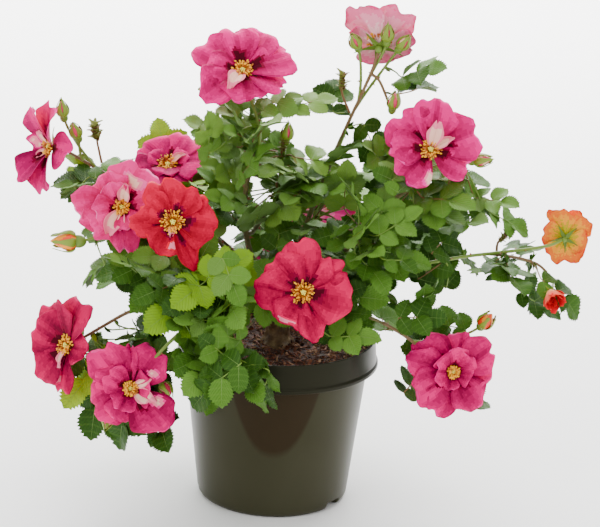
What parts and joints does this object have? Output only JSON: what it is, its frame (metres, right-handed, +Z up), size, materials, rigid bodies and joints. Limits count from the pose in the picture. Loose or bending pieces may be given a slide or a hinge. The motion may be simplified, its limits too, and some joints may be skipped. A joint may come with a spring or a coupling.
{
  "type": "potted rose bush",
  "caption": "Rose bush with thorny canes, leafy shoots and open semi-double blooms, growing in a round tapered nursery pot.",
  "frame": {"origin": "centre of the pot's flat underside", "axes": "+Z up along the pot's axis, -Y towards the bush's best side, +X to that side's right"},
  "size_m": [0.5333, 0.3654, 0.4654],
  "materials": {
    "pot_plastic": "dark olive-brown moulded plastic, satin",
    "compost": "moist fibrous bark compost",
    "old_wood": "rough grey-brown bark",
    "cane_bark": "smooth brownish-green rind with thorns",
    "foliage": "green leaves with pink, red and orange petals"
  },
  "bodies": {
    "root": {"cane_back": "cane_bark", "cane_back_left": "cane_bark", "cane_back_right": "cane_bark", "cane_far_left": "cane_bark", "cane_far_right": "cane_bark", "cane_front": "cane_bark", "cane_front_low": "cane_bark", "cane_inner": "cane_bark", "cane_inner_right": "cane_bark", "cane_left": "cane_bark", "cane_low_back": "cane_bark", "cane_low_back_left": "cane_bark", "cane_low_front_left": "cane_bark", "cane_low_left": "cane_bark", "cane_low_right": "cane_bark", "cane_right_high": "cane_bark", "cane_top_left": "cane_bark", "cane_top_right": "cane_bark", "cane_young_left": "cane_bark", "crown_stem": "old_wood", "foliage_back": "foliage", "foliage_back_left": "foliage", "foliage_back_right": "foliage", "foliage_far_left": "foliage", "foliage_far_right": "foliage", "foliage_front": "foliage", "foliage_front_low": "foliage", "foliage_inner": "foliage", "foliage_inner_right": "foliage", "foliage_left": "foliage", "foliage_low_back": "foliage", "foliage_low_back_left": "foliage", "foliage_low_front_left": "foliage", "foliage_low_left": "foliage", "foliage_low_right": "foliage", "foliage_right_high": "foliage", "foliage_top_left": "foliage", "foliage_top_right": "foliage", "foliage_young_left": "foliage", "pot": "pot_plastic", "soil": "compost"}
  },
  "joints": []
}
